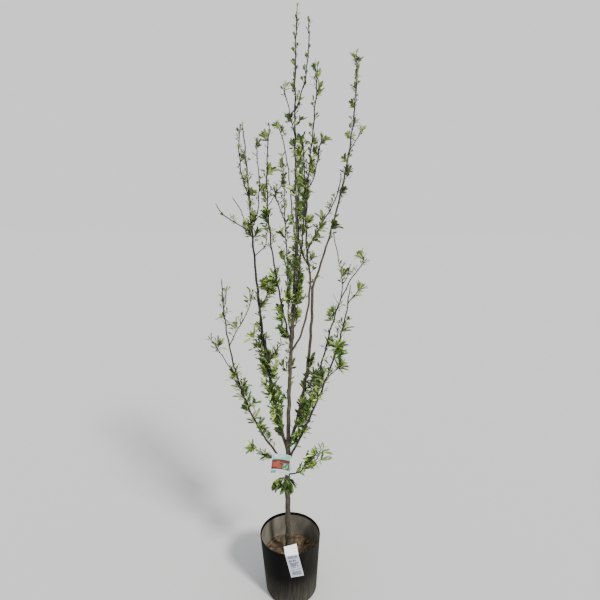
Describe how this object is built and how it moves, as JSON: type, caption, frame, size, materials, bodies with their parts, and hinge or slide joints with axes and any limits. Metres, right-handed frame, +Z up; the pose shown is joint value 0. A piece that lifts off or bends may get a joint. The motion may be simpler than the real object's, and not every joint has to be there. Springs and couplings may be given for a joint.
{
  "type": "potted plum tree",
  "caption": "Young plum tree in a black nursery pot in early spring: a slim leader, upright whips and small new leaves, with a blank pot tag and a printed care card.",
  "frame": {"origin": "centre of the pot's flat underside", "axes": "+Z up the trunk; the picture looks along +Y, with +X to its right"},
  "size_m": [0.6293, 0.4488, 2.2967],
  "materials": {
    "bark": "matt grey-brown young bark",
    "leaf": "soft new leaves",
    "potting_mix": "matt, crumbly",
    "pot_plastic": "satin black",
    "label_white": "satin",
    "card_print": "satin print"
  },
  "bodies": {
    "root": {"pot": "pot_plastic", "soil": "potting_mix", "trunk": "bark", "tag": "label_white", "label_card": "card_print", "label_loop": "label_white", "bough_left_low": "bark", "bough_left_tall": "bark", "bough_right_front": "bark", "bough_right": "bark", "bough_right_back": "bark", "bough_centre": "bark", "foliage_left_low": "leaf", "foliage_left_tall": "leaf", "foliage_right_front": "leaf", "foliage_right_back": "leaf", "foliage_top": "leaf", "foliage_right_tall": "leaf", "foliage_centre_front": "leaf", "foliage_front_left": "leaf", "foliage_inner_left": "leaf", "foliage_inner_back": "leaf", "foliage_back_left": "leaf", "foliage_front": "leaf", "foliage_back": "leaf", "foliage_back_low": "leaf", "foliage_low_right": "leaf", "foliage_low_left": "leaf", "foliage_low_front": "leaf"}
  },
  "joints": []
}
